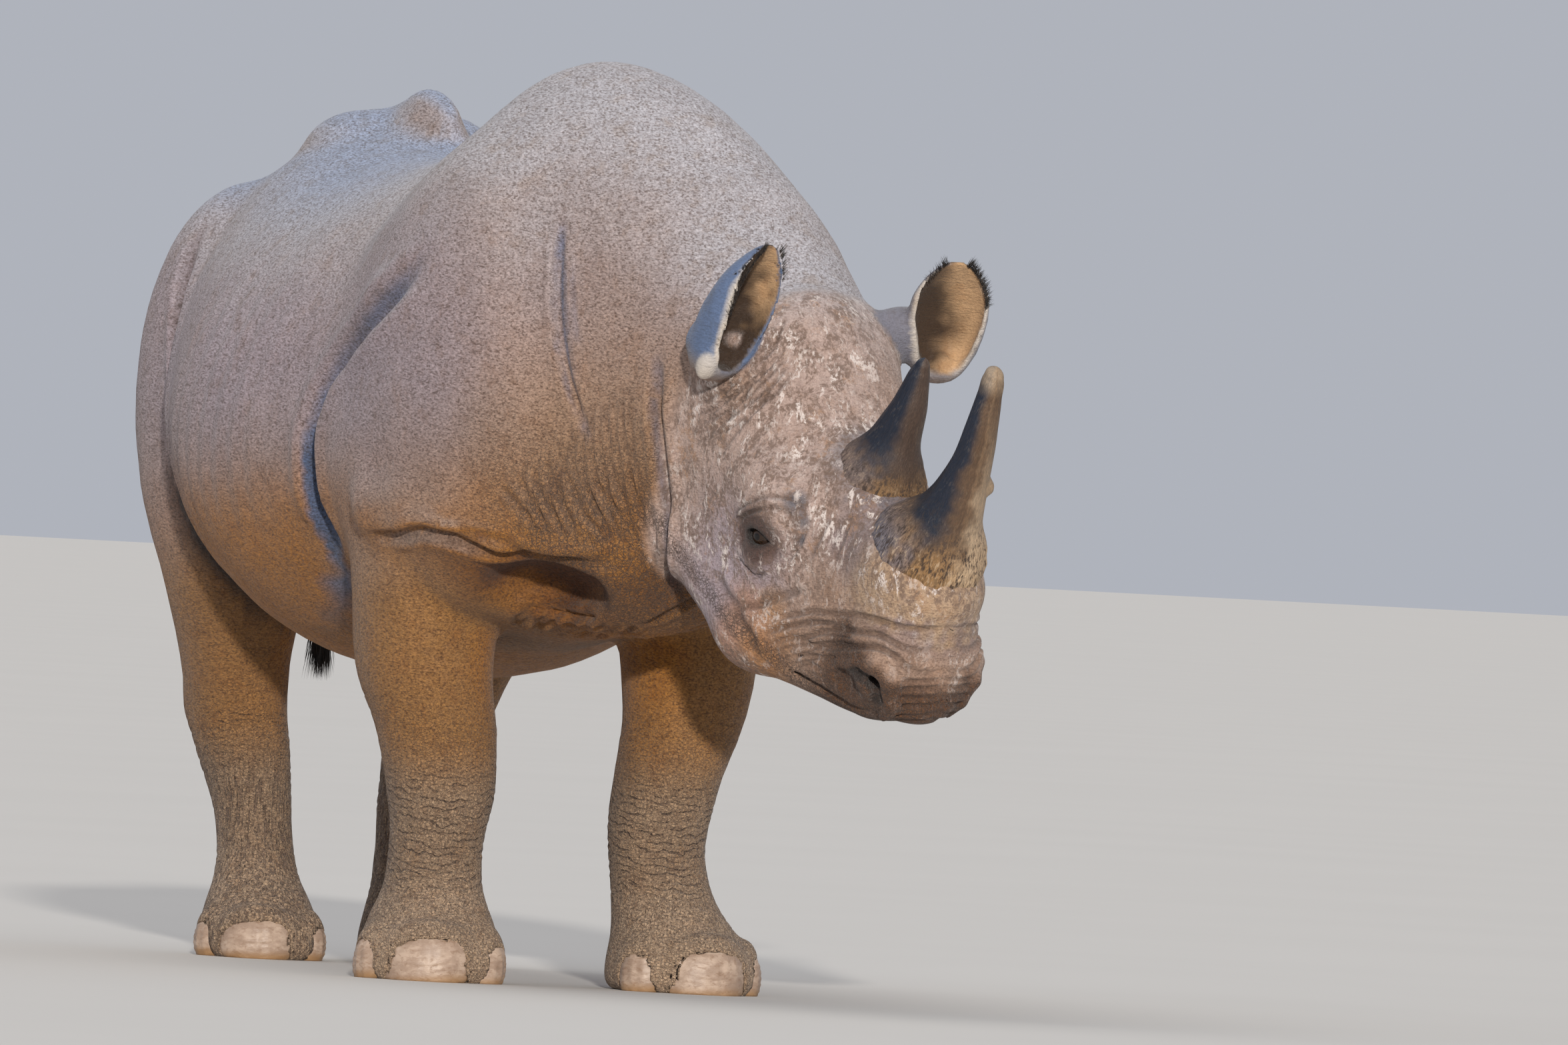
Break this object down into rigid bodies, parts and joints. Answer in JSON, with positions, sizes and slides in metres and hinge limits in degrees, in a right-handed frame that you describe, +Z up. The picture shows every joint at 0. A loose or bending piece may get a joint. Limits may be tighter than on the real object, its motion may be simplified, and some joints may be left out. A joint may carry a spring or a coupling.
{
  "type": "black rhinoceros",
  "caption": "Life-size still model of a standing black rhinoceros with lowered, turned head, two horns, cupped ears and hanging tail.",
  "frame": {"origin": "on the floor under the middle of the animal's overall box", "axes": "+Y along the body towards the tail, +Z up, +X towards the animal's left side"},
  "size_m": [0.9565, 2.8959, 1.5951],
  "materials": {
    "skin": "matt, finely wrinkled, dusty",
    "foot_skin": "matt, wrinkled, worn",
    "horn": "matt, fibrous at the base, smoother towards the tip",
    "nail": "matt, slightly polished by wear",
    "eye": "wet gloss",
    "hair": "coarse black hair"
  },
  "bodies": {
    "root": {"trunk": "skin", "neck": "skin", "head": "skin", "leg_front_left": "skin", "shin_front_left": "skin", "foot_front_left": "foot_skin", "leg_front_right": "skin", "shin_front_right": "skin", "foot_front_right": "foot_skin", "leg_hind_left": "skin", "shin_hind_left": "skin", "foot_hind_left": "foot_skin", "leg_hind_right": "skin", "shin_hind_right": "skin", "foot_hind_right": "foot_skin", "nail_front_left_outer": "nail", "nail_front_left_middle": "nail", "nail_front_left_inner": "nail", "nail_front_right_outer": "nail", "nail_front_right_middle": "nail", "nail_front_right_inner": "nail", "nail_hind_left_outer": "nail", "nail_hind_left_middle": "nail", "nail_hind_left_inner": "nail", "nail_hind_right_outer": "nail", "nail_hind_right_middle": "nail", "nail_hind_right_inner": "nail", "horn_front": "horn", "horn_rear": "horn", "eye_left": "eye", "eye_right": "eye", "ear_left": "skin", "ear_right": "skin", "tail": "skin", "tail_tuft": "hair"}
  },
  "joints": []
}
